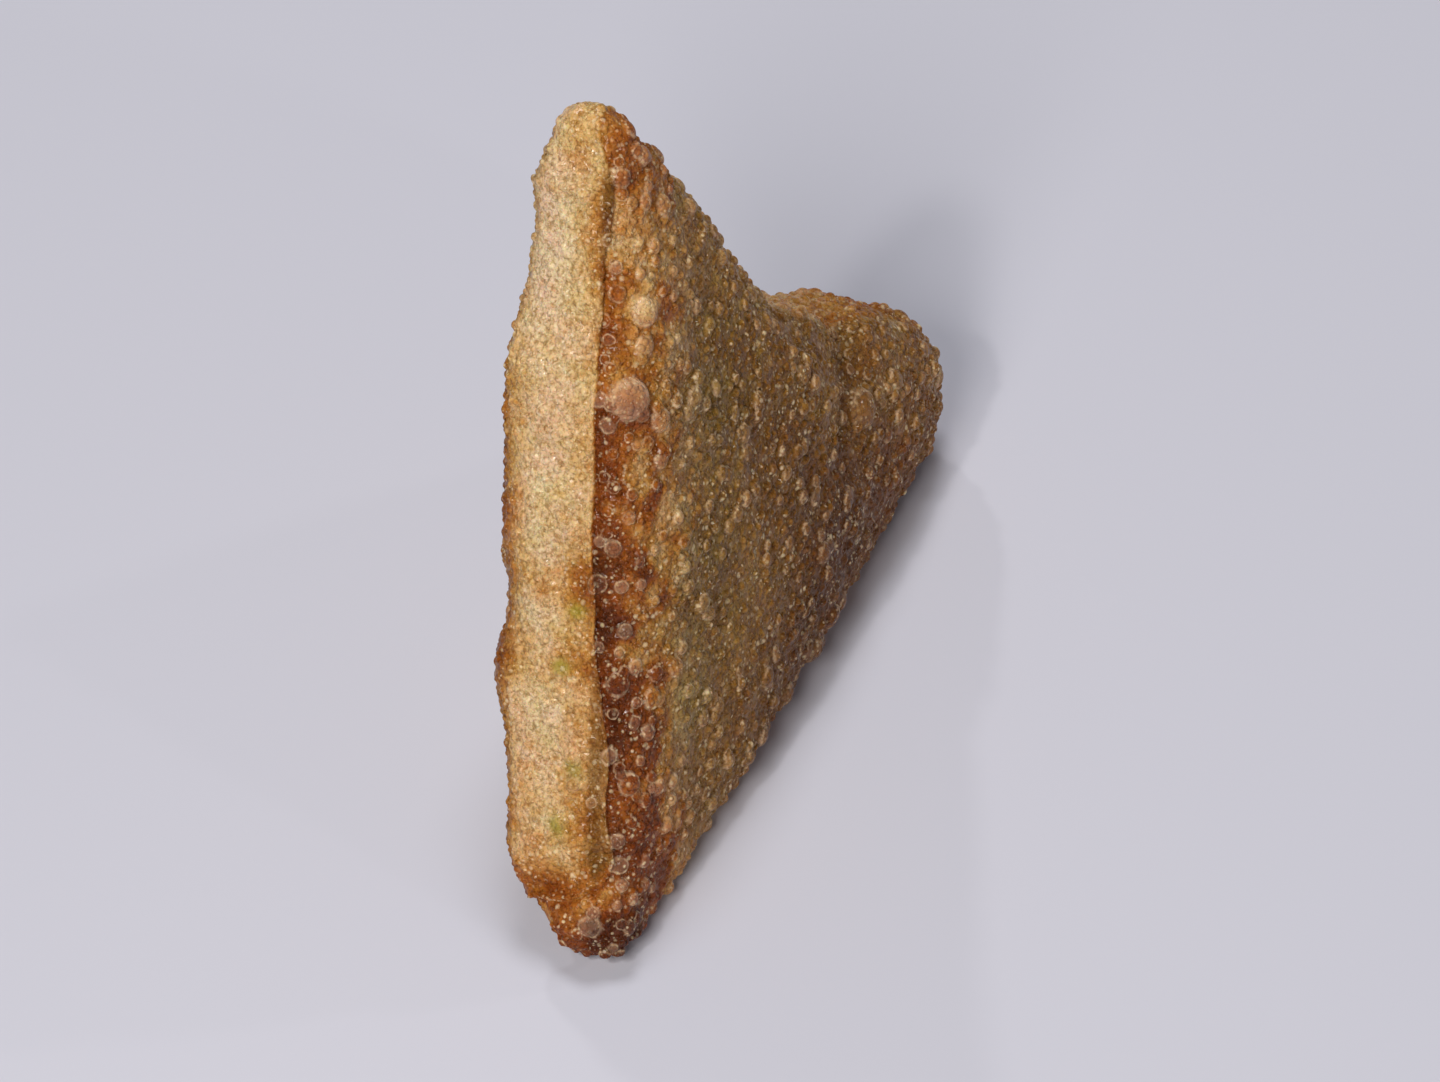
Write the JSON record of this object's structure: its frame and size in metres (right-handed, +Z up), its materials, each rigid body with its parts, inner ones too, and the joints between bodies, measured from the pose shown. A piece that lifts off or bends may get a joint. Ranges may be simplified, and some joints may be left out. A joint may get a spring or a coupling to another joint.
{
  "type": "samosa",
  "caption": "Deep-fried triangular samosa: a filled pastry pad with a wrapped flap edge and blunt corners, standing on its flat folded base.",
  "frame": {"origin": "middle of the box round the samosa, at the height of the surface it stands on", "axes": "+X along the base from the heel, where the flap ends, to the blunt nose; +Z up to the apex; -Y out of the front face"},
  "size_m": [0.1172, 0.0362, 0.1001],
  "materials": {
    "fried_pastry": null
  },
  "bodies": {
    "root": {"samosa": "fried_pastry"}
  },
  "joints": []
}
